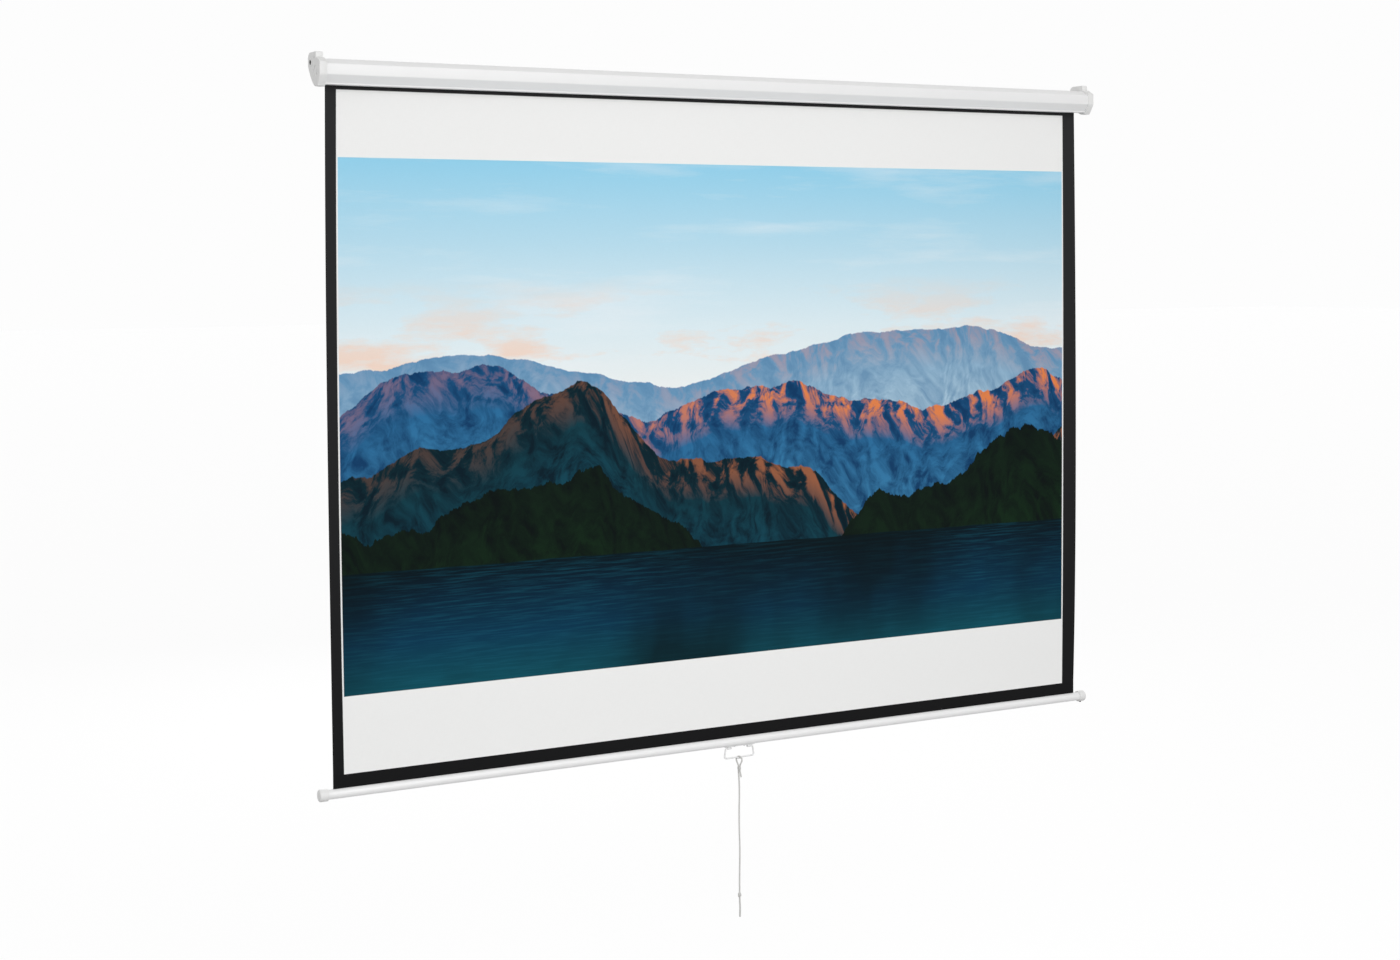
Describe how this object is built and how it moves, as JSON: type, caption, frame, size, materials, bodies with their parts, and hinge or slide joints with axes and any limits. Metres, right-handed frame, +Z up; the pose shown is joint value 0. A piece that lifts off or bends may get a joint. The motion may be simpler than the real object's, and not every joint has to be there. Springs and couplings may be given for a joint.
{
  "type": "pull down projector screen",
  "caption": "Manual pull down projector screen: a spring roller in a white eight-sided casing, a white sheet with black borders, a round bottom bar, a wire handle and a pull cord.",
  "frame": {"origin": "on the wall plane, midway between the two end caps, at the height of their hanging holes", "axes": "+X along the casing to the viewer's right, +Y into the wall, +Z up"},
  "size_m": [2.16, 0.078, 2.0835],
  "materials": {
    "casing_paint": "white satin powder coat",
    "cap_plastic": "white moulded plastic, fine satin",
    "bright_steel": "zinc plated steel",
    "dark_steel": "blackened steel",
    "sheet_white": "matt white coated cloth with a fine grain",
    "sheet_black": "matt black coated cloth",
    "roller_aluminium": "drawn aluminium",
    "inner_plastic": "grey moulded plastic",
    "spring_steel": "oiled spring steel",
    "bar_paint": "white satin powder coat",
    "bar_cap_plastic": "white moulded plastic",
    "handle_paint": "white coated wire",
    "cord_white": "white twisted cord"
  },
  "bodies": {
    "casing": {"casing_shell": "casing_paint", "end_cap_left": "cap_plastic", "end_cap_right": "cap_plastic", "ear_screw_left": "bright_steel", "ear_screw_right": "bright_steel", "cap_screw_left": "dark_steel", "cap_screw_right": "dark_steel", "projection_sheet": "sheet_white", "idle_bush": "inner_plastic", "spring_fixed_anchor": "inner_plastic", "spindle": "bright_steel", "torsion_spring": "spring_steel", "catch_hub": "inner_plastic", "pawl_pin": "bright_steel"},
    "roller": {"roller_tube": "roller_aluminium", "sheet_turns": "sheet_black", "idle_plug": "inner_plastic", "idle_pin": "bright_steel", "spring_plug": "inner_plastic", "spring_bearing": "inner_plastic", "spring_turning_anchor": "inner_plastic", "ratchet_cup": "inner_plastic"},
    "pawl": {"catch_pawl": "bright_steel"},
    "bottom_bar": {"bar_tube": "bar_paint", "bar_cap_left": "bar_cap_plastic", "bar_cap_right": "bar_cap_plastic", "bar_cap_screw": "dark_steel", "bottom_hem": "sheet_black", "hem_rod": "inner_plastic", "handle_clip": "bar_paint", "clip_rivet_left": "bright_steel", "clip_rivet_right": "bright_steel"},
    "handle": {"pull_handle": "handle_paint"},
    "cord": {"cord_loop": "cord_white", "cord_tie": "cord_white", "pull_cord": "cord_white", "cord_tail": "cord_white", "cord_knot": "cord_white", "cord_end": "cord_white"}
  },
  "joints": [
    {"name": "screen_travel", "type": "slide", "parent": "casing", "child": "bottom_bar", "axis": [0, 0, 1], "range_m": [0, 1.545], "deforming": ["projection_sheet"]},
    {"name": "roller_spin", "type": "hinge", "parent": "casing", "child": "roller", "pos_m": [0, -0.05, -0.021], "axis": [1, 0, 0], "range_deg": [0, 4430]},
    {"name": "pawl_swing", "type": "hinge", "parent": "casing", "child": "pawl", "pos_m": [1.018, -0.05, -0.01116], "axis": [1, 0, 0], "range_deg": [0, 14]},
    {"name": "handle_swing", "type": "hinge", "parent": "bottom_bar", "child": "handle", "pos_m": [0, -0.03, -1.6381], "axis": [1, 0, 0], "range_deg": [-85, 85]},
    {"name": "cord_swing", "type": "hinge", "parent": "handle", "child": "cord", "pos_m": [0, -0.03, -1.6661], "axis": [1, 0, 0], "range_deg": [-86, 86]}
  ],
  "couplings": [
    {"joint": "roller_spin", "follows": "screen_travel", "rad_per_m": 50},
    {"joint": "cord_swing", "follows": "handle_swing", "ratio": -1}
  ]
}
